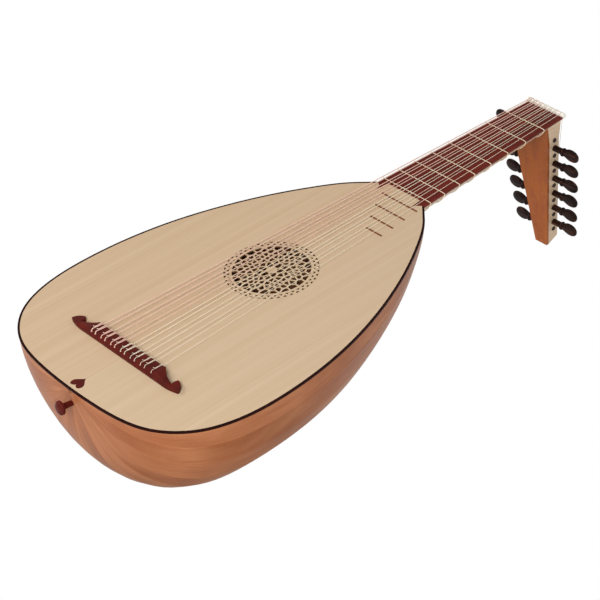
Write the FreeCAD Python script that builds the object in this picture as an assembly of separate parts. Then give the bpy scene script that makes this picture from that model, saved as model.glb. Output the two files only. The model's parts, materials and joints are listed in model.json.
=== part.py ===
import FreeCAD, Part
import math
import os

# A seven-course Renaissance lute, laid on its back.
#
# The pieces are drawn in the instrument's own frame: X runs along the strings from the bridge's
# front (0) to the nut (STRING_LENGTH), +Y is the bass side, and Z = 0 is the soundboard's top.
# At the end everything is tipped by REST_TILT, so that the bowl and the pegbox's tip both stand on
# one table, and moved so that the origin is the centre of the bounding box's bottom face.

Vector = FreeCAD.Vector

# ---------------------------------------------------------------- driving dimensions, mm
STRING_LENGTH = 600.0
TOP = 1.8                      # thickness of the soundboard, its binding and the fingerboard
BINDING_WIDTH = 2.4
RIB_THICKNESS = 1.7
RIB_COUNT = 15
EDGE_RIB_ANGLE = 8.7           # the two ribs next to the soundboard are narrower, degrees
GLUE = 0.05                    # glue line between an inner piece and the ribs
RIB_FLATNESS = 0.55            # 0 follows the round bowl, 1 makes every rib flat across
TAIL_BLOCK_THICKNESS = 7.0
TAIL_BLOCK_START = 0.865        # share of the outline from the neck where the tail block begins
NECK_BLOCK_SPAN = 0.085         # share of the body's outline that the neck block fills
NECK_BLOCK_INSET = 3.6

# (distance from the bridge, half-width, depth of the bowl) from the neck joint to the tail
BODY = [
    (369.0, 36.0, 24.3),
    (345.0, 60.3, 50.6),
    (318.0, 79.7, 72.8),
    (286.0, 98.8, 94.6),
    (245.0, 119.0, 116.0),
    (203.0, 135.5, 131.6),
    (161.0, 148.0, 142.2),
    (114.0, 156.8, 148.6),
    (57.0, 160.6, 149.6),
    (5.4, 155.6, 144.8),
    (-28.9, 142.6, 129.8),
    (-51.0, 124.5, 107.4),
    (-66.5, 100.8, 79.2),
    (-75.2, 69.4, 50.2),
    (-78.8, 32.0, 24.2),
    (-79.6, 0.0, 0.0),
]
NECK_JOINT = BODY[0][0]
TAIL_END = BODY[-1][0]
TAIL_CLOSE = 4.0               # half-width where the ribs meet at the tail
ARC_SPAN = 0.12                # share of the outline over which the neck's shallow arc turns oval

NECK_ROOT_HALF, NECK_ROOT_DEPTH = 36.0, 24.3
NUT_HALF, NUT_DEPTH = 27.0, 17.3
NECK_END = STRING_LENGTH + 1.6
NECK_SPLICE = 577.0            # where the slanting joint with the pegbox leaves the neck's back
FINGERBOARD_END = 374.0        # the soundboard's tongue reaches this far between the points
TONGUE_HALF = 24.6
POINT_TIP = (358.0, 26.0)
POINT_BELLY = (364.2, 28.9)

ROSE_X = 182.0
ROSE_TEETH = 44
# corners of the two kinds of teeth: (radius, share of the pitch)
ROSE_OUTER_TOOTH = [(49.8, -0.40), (49.8, 0.24), (47.1, -0.04)]
ROSE_INNER_TOOTH = [(44.3, 0.10), (44.3, 0.74), (46.9, 0.44)]
ROSE_KNOT_RADIUS, ROSE_STRIP, ROSE_REACH = 41.3, 1.9, 12.0
# middles of the knot's openings: (across, out) in a sixth of it, mirrored, and out along the spokes
ROSE_KNOT = [(5.4, 37.4), (14.4, 36.6), (0.0, 31.6), (5.2, 28.6), (10.4, 30.2), (8.6, 24.0),
             (3.6, 22.6), (5.5, 17.6), (0.0, 13.6)]
ROSE_SPOKE = [35.6, 27.5, 21.0, 9.6]

TIED_FRETS = 8
BODY_FRETS = [(9, 16.3, -37.0), (10, 6.3, -38.5), (11, -6.0, -40.2), (12, -18.5, -41.5)]
FRET_WIRE = 0.9
FRET_SLACK = 0.3               # space left between a gut loop and the neck, so that it slides
BODY_FRET_WIDTH, BODY_FRET_HEIGHT = 1.8, 0.7

BRIDGE_DEPTH, BRIDGE_HEIGHT = 15.5, 8.0
BRIDGE_BLOCK_HALF, BRIDGE_TIP_HALF = 52.0, 84.5
BRIDGE_WAIST_HEIGHT, BRIDGE_TIP_HEIGHT = 5.6, 4.2
TIE_HOLE_Z = 5.6
TIE_LEDGE = 10.0               # width of the rebate that the strings are tied over
TIE_TOP_Z = 7.2

NUT_LENGTH, NUT_TOP = 4.4, 4.0
NUT_SLOT_DEPTH, NUT_SLOT_PLAY = 0.85, 0.3
COURSES = 7
PAIRED = 6                     # courses of two strings; the first course is single
CHANTERELLE_BRIDGE, CHANTERELLE_NUT = -45.7, -23.0
COURSE_PITCH_BRIDGE, COURSE_PITCH_NUT = 15.6, 7.75
PAIR_HALF_BRIDGE, PAIR_HALF_NUT = 3.1, 1.5
SECOND_COURSE_BRIDGE, SECOND_COURSE_NUT = -31.9, -15.5
STRING_DIAMETERS = [0.44, 0.5, 0.58, 0.7, 0.8, 0.9, 1.0]

PEG_COUNT = 13
PEGBOX_TOP = (586.4, -24.0)    # first peg's centre, and the line that all pegs stand on
PEGBOX_LEAN = 7.19             # degrees past square to the strings
PEG_PITCH = 11.65
PEGBOX_BACK, PEGBOX_FRONT_TOP, PEGBOX_FRONT_TIP = 11.3, 7.8, 7.0
PEGBOX_END = 160.0
PEGBOX_HALF_TOP, PEGBOX_TAPER = 26.9, 0.112
WALL = 4.6
BACK_PANEL = 3.0
CHEEK_TOP, CHEEK_FRONT = -23.0, 14.0
TIP_BEVEL = 5.0
TIP_BLOCK_START = 149.5
PEG_RADIUS, PEG_END_RADIUS = 3.6, 2.7
PEG_FIT = 0.06
PEG_STUB = 0.8
PEG_COLLAR = (12.0, 5.1)       # where the collar starts, from the wall, and its radius
# the flattened head: (distance from the wall, half-thickness, half-width)
PEG_HEAD = [(15.2, 3.5, 4.6), (17.0, 3.2, 4.9), (19.5, 3.1, 6.2), (23.0, 3.0, 7.5), (27.0, 2.9, 7.8),
            (31.0, 2.6, 7.0), (34.0, 2.0, 5.2), (35.8, 1.1, 2.5)]

BUTTON_ROOT = (TAIL_END + 0.7, -18.2)
BUTTON_TENON, BUTTON_SHAFT, BUTTON_HEAD = 2.0, 3.2, 7.4
BUTTON_NAVEL = 1.2             # small flat in the middle of the button's crown
BUTTON_TILT = 8.0              # the button points a little upwards, degrees
HEART_TIP_X, HEART_LOBE_X, HEART_HALF = -58.8, -71.2, 7.9
HEART_DEPTH = 1.0


# ---------------------------------------------------------------- small tools
def vec(x, y, z=0.0):
    return Vector(x, y, z)


def polygon(points):
    return Part.makePolygon([vec(*p) for p in points] + [vec(*points[0])])


def box(x0, x1, y0, y1, z0, z1):
    return Part.makeBox(x1 - x0, y1 - y0, z1 - z0, vec(x0, y0, z0))


def mirror_y(shape):
    return shape.mirror(vec(0, 0, 0), vec(0, 1, 0))


def loft(wires, ruled=True):
    return Part.makeLoft(wires, True, ruled)


def spline(points, first=None, last=None):
    curve = Part.BSplineCurve()
    if first is None:
        curve.interpolate([vec(*p) for p in points])
    else:
        curve.interpolate(Points=[vec(*p) for p in points], InitialTangent=first, FinalTangent=last)
    return curve


# ---------------------------------------------------------------- body shape
# Two splines with one shared parameter: the outline's half-width and the bowl's depth. At the tail
# both meet the centre line square on, so the two halves run on smoothly into each other.
def body_curve(column):
    points = [(row[0], row[column], 0.0) for row in BODY]
    curve = Part.BSplineCurve()
    knots = [0.0]
    for near, far in zip(BODY, BODY[1:]):
        knots.append(knots[-1] + math.dist(near, far))
    knots = [k / knots[-1] for k in knots]
    start = vec(points[1][0] - points[0][0], points[1][1] - points[0][1])

    def rate(end):
        """The speed along the curve in its first or last span."""
        pair = (0, 1) if end == 1 else (-2, -1)
        return math.dist(points[pair[0]], points[pair[1]]) / (knots[pair[1]] - knots[pair[0]])

    curve.interpolate(Points=[vec(*p) for p in points], Parameters=knots,
                      InitialTangent=start.normalize() * rate(1),
                      FinalTangent=vec(0, -rate(-1), 0), Scale=False)
    return curve


WIDTH_CURVE = body_curve(1)
DEPTH_CURVE = body_curve(2)


def close_parameter():
    """The curve parameter where the ribs stop, TAIL_CLOSE from the centre line."""
    low, high = 0.9, 1.0
    while high - low > 1e-6:
        middle = 0.5 * (low + high)
        if WIDTH_CURVE.value(middle).y > TAIL_CLOSE:
            low = middle
        else:
            high = middle
    return low


def arc_depth(half, deep, angle):
    """Depth of a shallow round arc, half wide each side and deep in the middle, at an angle round it."""
    radius = (half ** 2 + deep ** 2) / (2.0 * deep)
    return math.sqrt(radius ** 2 - (half * math.cos(math.radians(angle))) ** 2) - (radius - deep)


def bowl_point(t, angle):
    """A point on the bowl's outer skin: angle 0 is the treble edge, 180 the bass edge."""
    wide, deep = WIDTH_CURVE.value(t), DEPTH_CURVE.value(t)
    turn = math.radians(angle)
    depth = max(deep.y - TOP, 0.0) if t < 0.5 else deep.y * (1.0 - TOP / BODY[8][2])
    drop = depth * math.sin(turn)
    if t < ARC_SPAN:
        share = t / ARC_SPAN
        oval = share * share * (3.0 - 2.0 * share)
        drop = drop * oval + arc_depth(wide.y, depth, angle) * (1.0 - oval)
    return vec(wide.x, -wide.y * math.cos(turn), -TOP - drop)


def bowl_inward(t, angle):
    step = 1e-3
    t0, t1 = max(t - step, 0.0), min(t + step, 0.9999)
    a0, a1 = max(angle - 0.5, 0.0), min(angle + 0.5, 180.0)
    along = bowl_point(t1, angle) - bowl_point(t0, angle)
    around = bowl_point(t, a1) - bowl_point(t, a0)
    normal = around.cross(along)
    normal.normalize()
    return normal


def rib_seams():
    inner = RIB_COUNT - 2
    width = (180.0 - 2.0 * EDGE_RIB_ANGLE) / inner
    return [0.0] + [EDGE_RIB_ANGLE + i * width for i in range(inner + 1)] + [180.0]


SEAMS = rib_seams()
T_CLOSE = close_parameter()


def skin_line(t, angles, depth, flat):
    """Points across the bowl's skin, depth inside it. flat pulls them towards their chord."""
    skin = [bowl_point(t, angle) + bowl_inward(t, angle) * depth for angle in angles]
    for point in skin:
        point.z = min(point.z, -TOP)
    first, last = skin[0], skin[-1]
    points = []
    for angle, point in zip(angles, skin):
        share = (angle - angles[0]) / (angles[-1] - angles[0])
        chord = first * (1.0 - share) + last * share
        points.append(point * (1.0 - flat) + chord * flat)
    return points


def skin_edge(points):
    curve = Part.BSplineCurve()
    curve.interpolate(Points=points, Parameters=stations(0.0, 1.0, len(points)))
    return curve.toShape()


def board_solid(t_list, angles, depth_out, depth_in, flat=0.0):
    """A curved board that follows the bowl between two depths inside its skin."""
    sections, caps = [], []
    for t in t_list:
        outer = skin_line(t, angles, depth_out, flat)
        inner = skin_line(t, angles, depth_in, flat)
        sections.append(Part.Wire([skin_edge(outer), Part.makeLine(outer[-1], inner[-1]), skin_edge(inner),
                                   Part.makeLine(inner[0], outer[0])]))
        if t in (t_list[0], t_list[-1]):
            caps.append(Part.makeRuledSurface(skin_edge(outer), skin_edge(inner)))
    sides = Part.makeLoft(sections, False, False)
    shell = Part.Shell(sides.Faces + caps)
    shell.sewShape()
    solid = Part.Solid(shell)
    if solid.Volume < 0:
        solid.reverse()
    return solid


def stations(t0, t1, count):
    return [t0 + (t1 - t0) * i / (count - 1) for i in range(count)]


def make_rib(index):
    angles = stations(SEAMS[index], SEAMS[index + 1], 4)
    return board_solid(stations(0.0, T_CLOSE, 26), angles, 0.0, RIB_THICKNESS, RIB_FLATNESS)


def make_tail_block():
    """The block inside the tail that all ribs end on and the strap button is screwed into."""
    angles = stations(4.0, 176.0, 13)
    depth = RIB_THICKNESS + GLUE + 0.35
    return board_solid(stations(TAIL_BLOCK_START, T_CLOSE, 9), angles, depth, depth + TAIL_BLOCK_THICKNESS)


def make_neck_block():
    wires = []
    for t in stations(0.0, NECK_BLOCK_SPAN, 5):
        x = WIDTH_CURVE.value(t).x
        shrink = 1.0 - NECK_BLOCK_INSET / DEPTH_CURVE.value(t).y
        arc = [vec(x, p.y * shrink, -TOP + (p.z + TOP) * shrink)
               for p in (bowl_point(t, a) for a in stations(0.0, 180.0, 9))]
        curve = Part.BSplineCurve()
        curve.interpolate(Points=arc, Parameters=stations(0.0, 1.0, len(arc)))
        wires.append(Part.Wire([curve.toShape(), Part.makeLine(arc[-1], arc[0])]))
    return loft(wires)


# ---------------------------------------------------------------- soundboard and what is on it
def outline_wire(inset=0.0):
    """The body's outline from above, or a line that far inside it."""
    if inset:
        points = []
        for t in stations(0.0, 1.0, 32):
            along = WIDTH_CURVE.tangent(t)[0]
            points.append(WIDTH_CURVE.value(t) + vec(-along.y, along.x) * inset)
        points.insert(0, points[0] * 1.4 - points[1] * 0.4)
        half = spline(points, (points[1] - points[0]).normalize(), vec(0, -1, 0)).toShape()
    else:
        half = WIDTH_CURVE.toShape()
    start = half.Vertexes[0].Point
    neck = Part.makeLine(vec(start.x, -start.y), vec(start.x, start.y))
    return Part.Wire(Part.__sortEdges__([half, mirror_y(half), neck]))


def slab(face, thickness=TOP):
    face = face.copy()
    face.translate(vec(0, 0, -thickness))
    return face.extrude(vec(0, 0, thickness))


def points_face():
    """The fingerboard's plan: a tapered board that ends in two points on the soundboard."""
    edges = []
    corners = [(STRING_LENGTH, NUT_HALF), (NECK_JOINT, NECK_ROOT_HALF)]
    for side in (1, -1):
        edges.append(Part.makeLine(vec(corners[0][0], side * corners[0][1]),
                                   vec(corners[1][0], side * corners[1][1])))
        arc = Part.Arc(vec(corners[1][0], side * corners[1][1]), vec(POINT_BELLY[0], side * POINT_BELLY[1]),
                       vec(POINT_TIP[0], side * POINT_TIP[1]))
        edges.append(arc.toShape())
        edges.append(Part.makeLine(vec(POINT_TIP[0], side * POINT_TIP[1]),
                                   vec(FINGERBOARD_END, side * TONGUE_HALF)))
    edges.append(Part.makeLine(vec(FINGERBOARD_END, TONGUE_HALF), vec(FINGERBOARD_END, -TONGUE_HALF)))
    edges.append(Part.makeLine(vec(STRING_LENGTH, NUT_HALF), vec(STRING_LENGTH, -NUT_HALF)))
    return Part.Face(Part.Wire(Part.__sortEdges__(edges)))


def polar(radius, angle):
    """A point of the rose from its middle."""
    turn = math.radians(angle)
    return (radius * math.cos(turn), radius * math.sin(turn))


def kept_side(outline, along, limit):
    """The part of a convex outline that lies no further than limit in the direction along."""
    kept = []
    for here, there in zip(outline, outline[1:] + outline[:1]):
        reach = [p[0] * along[0] + p[1] * along[1] - limit for p in (here, there)]
        if reach[0] <= 0:
            kept.append(here)
        if reach[0] * reach[1] < 0:
            share = reach[0] / (reach[0] - reach[1])
            kept.append((here[0] + (there[0] - here[0]) * share, here[1] + (there[1] - here[1]) * share))
    return kept


def rose_openings():
    """The rose's cut-outs as closed outlines: two rows of teeth and a six-fold knot inside them."""
    holes = []
    step = 360.0 / ROSE_TEETH
    for i in range(ROSE_TEETH):
        for tooth in (ROSE_OUTER_TOOTH, ROSE_INNER_TOOTH):
            holes.append([polar(radius, (i + share) * step) for radius, share in tooth])
    sites = [(0.0, 0.0)]
    for sector in range(6):
        axis = 30.0 + 60.0 * sector
        for across, out in ROSE_KNOT:
            for side in ((1, -1) if across else (1,)):
                lean = math.degrees(math.atan2(across, out))
                sites.append(polar(math.hypot(across, out), axis + side * lean))
        for out in ROSE_SPOKE:
            sites.append(polar(out, axis + 30.0))
    # every opening is the room nearest its own site, less half a strip of the lattice all round
    rim = [polar(ROSE_KNOT_RADIUS, 5.0 * k) for k in range(72)]
    for site in sites[1:]:
        opening = rim
        for other in sites:
            gap = (other[0] - site[0], other[1] - site[1])
            length = math.hypot(*gap)
            if 0.0 < length < 2.0 * ROSE_REACH:
                along = (gap[0] / length, gap[1] / length)
                middle = (other[0] ** 2 + other[1] ** 2 - site[0] ** 2 - site[1] ** 2) / (2.0 * length)
                opening = kept_side(opening, along, middle - ROSE_STRIP / 2.0)
        holes.append(opening)
    return [[(ROSE_X + x, y) for x, y in hole] for hole in holes]


def make_soundboard():
    plate = Part.Face(outline_wire(BINDING_WIDTH))
    tongue = Part.Face(polygon([(NECK_JOINT - 6.0, -TONGUE_HALF - 4.0), (FINGERBOARD_END, -TONGUE_HALF - 4.0),
                                (FINGERBOARD_END, TONGUE_HALF + 4.0), (NECK_JOINT - 6.0, TONGUE_HALF + 4.0)]))
    plate = plate.fuse(tongue).removeSplitter().cut(points_face()).Faces[0]
    holes = [polygon(hole) for hole in rose_openings()]
    pierced = Part.Face([plate.OuterWire] + holes, "Part::FaceMakerBullseye")
    heart = slab(Part.Face(heart_wire()), HEART_DEPTH)
    return slab(pierced).cut(heart)


def make_binding():
    ring = Part.Face(outline_wire()).cut(Part.Face(outline_wire(BINDING_WIDTH)))
    return slab(ring.cut(points_face()))


def heart_wire():
    tip, lobe, half = HEART_TIP_X, HEART_LOBE_X, HEART_HALF
    edges = []
    for side in (1, -1):
        flank = spline([(tip, 0, 0), (tip - 4.2, side * 3.4, 0), (lobe + 2.2, side * half, 0),
                        (lobe - 2.6, side * 0.72 * half, 0), (lobe - 2.2, side * 0.3 * half, 0),
                        (lobe + 0.6, 0, 0)])
        edges.append(flank.toShape())
    return Part.Wire(Part.__sortEdges__(edges))


def fret_x(number):
    return STRING_LENGTH * 2.0 ** (-number / 12.0)


def make_body_frets():
    bars = []
    for number, bass, treble in BODY_FRETS:
        x = fret_x(number)
        bar = box(x - BODY_FRET_WIDTH / 2, x + BODY_FRET_WIDTH / 2, treble, bass, 0.0, BODY_FRET_HEIGHT)
        tops = [e for e in bar.Edges if all(abs(p.Z - BODY_FRET_HEIGHT) < 1e-6 for p in e.Vertexes)]
        bars.append(bar.makeFillet(0.3, tops))
    return Part.makeCompound(bars)


def bridge_plan():
    """The bridge from above: a bar with a scooped-out, hooked horn at each end."""
    edges = []
    for side in (1, -1):
        corner = vec(0.0, side * BRIDGE_BLOCK_HALF)
        throat = vec(-10.0, side * 72.5)
        beak = vec(-2.2, side * 73.4)
        tip = vec(-12.2, side * BRIDGE_TIP_HALF)
        back = vec(-BRIDGE_DEPTH, side * 60.0)
        edges.append(Part.Arc(corner, vec(-6.6, side * 61.5), throat).toShape())
        edges.append(Part.Arc(throat, vec(-6.0, side * 72.2), beak).toShape())
        edges.append(Part.Arc(beak, vec(-4.4, side * 79.6), tip).toShape())
        edges.append(Part.Arc(tip, vec(-14.7, side * 75.0), back).toShape())
    edges.append(Part.makeLine(vec(0, BRIDGE_BLOCK_HALF), vec(0, -BRIDGE_BLOCK_HALF)))
    edges.append(Part.makeLine(vec(-BRIDGE_DEPTH, 60.0), vec(-BRIDGE_DEPTH, -60.0)))
    return Part.Face(Part.Wire(Part.__sortEdges__(edges)))


def make_bridge():
    body = bridge_plan().extrude(vec(0, 0, BRIDGE_HEIGHT))
    # lengthwise shape: full height over the tie block, thinning to the two tips
    half = BRIDGE_TIP_HALF + 1.0
    tip, waist = vec(-30, half, BRIDGE_TIP_HEIGHT), vec(-30, 68.0, BRIDGE_WAIST_HEIGHT)
    shoulder = vec(-30, BRIDGE_BLOCK_HALF + 1.0, BRIDGE_HEIGHT)

    def across(point):
        return vec(point.x, -point.y, point.z)

    side_view = Part.Wire([
        Part.makeLine(vec(-30, -half, 0), vec(-30, half, 0)),
        Part.makeLine(vec(-30, half, 0), tip),
        Part.Arc(tip, waist, shoulder).toShape(),
        Part.makeLine(shoulder, across(shoulder)),
        Part.Arc(across(shoulder), across(waist), across(tip)).toShape(),
        Part.makeLine(across(tip), vec(-30, -half, 0)),
    ])
    body = body.common(Part.Face(side_view).extrude(vec(60, 0, 0)))
    # the back of the bar falls away in a broad bevel
    bevel = Part.Face(polygon([(-BRIDGE_DEPTH - 5.0, -100, 1.4), (-BRIDGE_DEPTH - 5.0, -100, 20.0),
                               (-TIE_LEDGE - 1.5, -100, 20.0), (-TIE_LEDGE - 1.5, -100, BRIDGE_HEIGHT),
                               (-BRIDGE_DEPTH, -100, 2.2)])).extrude(vec(0, 200, 0))
    body = body.cut(bevel)
    body = body.cut(box(-TIE_LEDGE, 1.0, -BRIDGE_BLOCK_HALF + 1.5, BRIDGE_BLOCK_HALF - 1.5, TIE_TOP_Z, 20.0))
    drills = []
    for course, at_bridge, _ in string_lines():
        radius = STRING_DIAMETERS[course] / 2 + 0.15
        drills.append(Part.makeCylinder(radius, 40.0, vec(-30, at_bridge, TIE_HOLE_Z), vec(1, 0, 0)))
    return body.cut(Part.makeCompound(drills))


# ---------------------------------------------------------------- neck
def neck_half(x):
    share = (x - NECK_JOINT) / (STRING_LENGTH - NECK_JOINT)
    return NECK_ROOT_HALF + (NUT_HALF - NECK_ROOT_HALF) * share


def neck_depth(x):
    share = (x - NECK_JOINT) / (STRING_LENGTH - NECK_JOINT)
    return NECK_ROOT_DEPTH + (NUT_DEPTH - NECK_ROOT_DEPTH) * share


def neck_section(x, grow=0.0, top=-TOP):
    """The neck's cross-section at x: a flat top and a shallow round back."""
    half, deep = neck_half(x) + grow, neck_depth(x) + grow
    curve = Part.BSplineCurve()
    curve.interpolate(Parameters=stations(0.0, 1.0, 13), Points=[
        vec(x, -half * math.cos(math.radians(a)), -TOP - arc_depth(half, deep - TOP, a))
        for a in stations(0.0, 180.0, 13)])
    if top > -TOP:
        corners = [vec(x, half, -TOP), vec(x, half, top), vec(x, -half, top), vec(x, -half, -TOP)]
        lines = [Part.makeLine(a, b) for a, b in zip(corners, corners[1:])]
        return Part.Wire([curve.toShape()] + lines)
    return Part.Wire([curve.toShape(), Part.makeLine(vec(x, half, -TOP), vec(x, -half, -TOP))])


def make_neck():
    neck = loft([neck_section(NECK_JOINT), neck_section(NECK_END)])
    # the end is cut back under the nut, where the pegbox is let in and the strings turn down
    waste = [(NECK_END, -60, -TOP - 0.1), (NECK_SPLICE, -60, -NUT_DEPTH - 2.0), (660, -60, -40.0),
             (660, -60, 10.0), (NECK_END, -60, 10.0)]
    joint = Part.Face(polygon(waste)).extrude(vec(0, 120, 0))
    return neck.cut(joint)


def make_fingerboard():
    return slab(points_face())


def string_lines():
    """(course, Y at the bridge, Y at the nut) of every string, treble first."""
    lines = [(0, CHANTERELLE_BRIDGE, CHANTERELLE_NUT)]
    for pair in range(PAIRED):
        bridge = SECOND_COURSE_BRIDGE + pair * COURSE_PITCH_BRIDGE
        nut = SECOND_COURSE_NUT + pair * COURSE_PITCH_NUT
        for side in (-1, 1):
            lines.append((pair + 1, bridge + side * PAIR_HALF_BRIDGE, nut + side * PAIR_HALF_NUT))
    return lines


def make_nut():
    blank = box(STRING_LENGTH, STRING_LENGTH + NUT_LENGTH, -NUT_HALF - 0.8, NUT_HALF + 0.8, -TOP, NUT_TOP)
    seat = box(NECK_END, STRING_LENGTH + NUT_LENGTH + 1.0, -40, 40, -TOP - 1.0, -TOP + 0.4)
    blank = blank.cut(seat)
    edges = [e for e in blank.Edges if abs(e.CenterOfMass.z - NUT_TOP) < 1e-6 and e.Length > 20]
    blank = blank.makeFillet(1.5, edges)
    slots = []
    for course, _, at_nut in string_lines():
        radius = STRING_DIAMETERS[course] / 2
        slots.append(box(STRING_LENGTH - 1, STRING_LENGTH + NUT_LENGTH + 1, at_nut - radius - NUT_SLOT_PLAY,
                         at_nut + radius + NUT_SLOT_PLAY, NUT_TOP - NUT_SLOT_DEPTH, NUT_TOP + 2))
    paths = [make_string(i, NUT_SLOT_PLAY) for i in range(len(slots))]
    return blank.cut(Part.makeCompound(slots)).cut(Part.makeCompound(paths))


def make_tied_fret(number):
    x = fret_x(number)
    inside, outside = FRET_SLACK, FRET_SLACK + FRET_WIRE
    rings = []
    for grow in (inside, outside):
        wire = neck_section(x - FRET_WIRE / 2, grow, grow)
        rings.append(Part.Face(wire).extrude(vec(FRET_WIRE, 0, 0)))
    return rings[1].cut(rings[0])


# ---------------------------------------------------------------- pegbox
LEAN = math.radians(PEGBOX_LEAN)
DOWN = vec(math.sin(LEAN), 0, -math.cos(LEAN))
OUT = vec(math.cos(LEAN), 0, math.sin(LEAN))
PEG_ORIGIN = vec(PEGBOX_TOP[0], 0, PEGBOX_TOP[1])


def pegbox_point(along, out, y=0.0):
    return PEG_ORIGIN + DOWN * along + OUT * out + vec(0, y, 0)


def pegbox_half(along):
    return PEGBOX_HALF_TOP - PEGBOX_TAPER * max(along, 0.0)


def wall_slab(corners):
    """A slab as thick as a wall over (along, out) corners, inside the bass side's outer face."""
    wires = []
    for inset in (0.0, WALL):
        points = [pegbox_point(s, n, pegbox_half(s) - inset) for s, n in corners]
        wires.append(Part.makePolygon(points + [points[0]]))
    return loft(wires)


def make_pegbox_wall():
    """The bass-side wall before it is drilled: a tapering board and the cheek that hugs the neck."""
    back = PEGBOX_BACK - BACK_PANEL
    board = wall_slab([(0.0, -back), (0.0, PEGBOX_FRONT_TOP), (PEGBOX_END - TIP_BEVEL, PEGBOX_FRONT_TIP),
                       (PEGBOX_END, -back)])
    cheek = wall_slab([(0.0, -back), (0.0, PEGBOX_FRONT_TOP), (CHEEK_TOP, CHEEK_FRONT),
                       (CHEEK_TOP - 3.0, -back)])
    wall = board.fuse(cheek).removeSplitter()
    return wall.cut(box(500, 700, -60, 60, -TOP, 20)).cut(make_neck())


def between_walls(along0, along1, back, front, inset=0.0):
    """A block across the pegbox from along0 to along1, between or over the walls."""
    half0, half1 = pegbox_half(along0) - inset, pegbox_half(along1) - inset
    corners = [(along0, -half0), (along1, -half1), (along1, half1), (along0, half0)]
    points = [pegbox_point(along, back, y) for along, y in corners]
    return Part.Face(Part.makePolygon(points + [points[0]])).extrude(OUT * (front - back))


def make_pegbox_back():
    inner = -PEGBOX_BACK + BACK_PANEL
    panel = between_walls(0.0, PEGBOX_END, -PEGBOX_BACK, inner)
    panel = panel.fuse(between_walls(CHEEK_TOP, 0.0, -PEGBOX_BACK, inner)).removeSplitter()
    return panel.cut(make_neck())


def make_pegbox_tip_block():
    inner = PEGBOX_BACK - BACK_PANEL
    block = between_walls(TIP_BLOCK_START, PEGBOX_END, -inner, PEGBOX_FRONT_TIP, WALL)
    trim = [pegbox_point(PEGBOX_END, -inner), pegbox_point(PEGBOX_END - TIP_BEVEL, PEGBOX_FRONT_TIP),
            pegbox_point(PEGBOX_END - TIP_BEVEL, 30.0), pegbox_point(PEGBOX_END + 20.0, 30.0),
            pegbox_point(PEGBOX_END + 20.0, -inner)]
    trim = [p + vec(0, -30, 0) for p in trim]
    tool = Part.Face(Part.makePolygon(trim + [trim[0]])).extrude(vec(0, 60, 0))
    return block.cut(tool)


def peg_profile(along, grow=0.0):
    """Radius of a peg's shaft outside its head-side wall and where it ends, past the other wall."""
    reach = 2.0 * pegbox_half(along) + PEG_STUB
    return reach, PEG_RADIUS + grow, PEG_END_RADIUS + grow


def peg_side(index):
    return 1 if index % 2 == 0 else -1


def peg_along(index):
    return index * PEG_PITCH


def peg_bore(index):
    """The tapered hole for a peg, through both walls."""
    side = peg_side(index)
    reach, wide, narrow = peg_profile(peg_along(index), PEG_FIT)
    start = pegbox_point(peg_along(index), 0.0, side * pegbox_half(peg_along(index)))
    taper = Part.makeCone(wide, narrow, reach, start, vec(0, -side, 0))
    mouth = Part.makeCylinder(wide, 1.0, start, vec(0, side, 0))
    return taper.fuse(mouth)


def make_peg(index):
    side = peg_side(index)
    along = peg_along(index)
    reach, wide, narrow = peg_profile(along)
    # the profile is turned about Y; y = 0 is the wall's outer face and the head lies beyond it
    collar, ring = PEG_COLLAR
    neck = PEG_HEAD[0][0]
    outline = [(-reach, 0), (-reach, narrow), (0, wide), (collar, wide + 0.1)]
    edges = [Part.makeLine(vec(r, y), vec(s, z)) for (y, r), (z, s) in zip(outline, outline[1:])]
    bead = Part.Arc(vec(wide + 0.1, collar), vec(ring, (collar + neck) / 2), vec(PEG_HEAD[0][1], neck + 0.4))
    edges += [bead.toShape(), Part.makeLine(vec(PEG_HEAD[0][1], neck + 0.4), vec(0, neck + 0.4)),
              Part.makeLine(vec(0, neck + 0.4), vec(0, -reach))]
    shaft = Part.Face(Part.Wire(Part.__sortEdges__(edges))).revolve(vec(0, 0, 0), vec(0, 1, 0), 360)
    sections = []
    for y, thick, half in PEG_HEAD:
        oval = Part.Ellipse(vec(0, y, half), vec(thick, y, 0), vec(0, y, 0))
        sections.append(Part.Wire(oval.toShape()))
    peg = shaft.fuse(Part.makeLoft(sections, True, False))
    if side < 0:
        peg = mirror_y(peg)
    peg.translate(pegbox_point(along, 0.0, side * pegbox_half(along)))
    return peg


# ---------------------------------------------------------------- strings
def peg_for(string):
    """The peg of each string: the treble strings run to the far pegs."""
    return PEG_COUNT - 1 - string


def rounded_path(points, radii):
    """Straight runs joined by tangent arcs."""
    edges = []
    last = points[0]
    for i in range(1, len(points) - 1):
        corner, radius = points[i], radii[i - 1]
        back = (points[i - 1] - corner).normalize()
        ahead = (points[i + 1] - corner).normalize()
        half = back.getAngle(ahead) / 2
        trim = radius / math.tan(half)
        begin, end = corner + back * trim, corner + ahead * trim
        middle = corner + (back + ahead).normalize() * (radius / math.sin(half) - radius)
        edges.append(Part.makeLine(last, begin))
        edges.append(Part.Arc(begin, middle, end).toShape())
        last = end
    edges.append(Part.makeLine(last, points[-1]))
    return Part.Wire(edges)


def string_route(index):
    course, at_bridge, at_nut = string_lines()[index]
    radius = STRING_DIAMETERS[course] / 2
    peg = peg_for(index)
    crown = NUT_TOP - NUT_SLOT_DEPTH + radius + 0.15
    start = vec(-BRIDGE_DEPTH - 1.2, at_bridge, TIE_HOLE_Z)
    front = vec(0.4, at_bridge, TIE_HOLE_Z)
    turn = vec(STRING_LENGTH + NUT_LENGTH + radius + 0.5, at_nut, crown)
    limit = min(pegbox_half(peg_along(peg)) - WALL - 1.5, 17.0)
    landing = max(-limit, min(limit, at_nut))
    shaft = PEG_RADIUS + 0.5 + radius
    end = pegbox_point(peg_along(peg) - 0.5, shaft, landing)
    return [start, front, turn, end], radius


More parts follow.
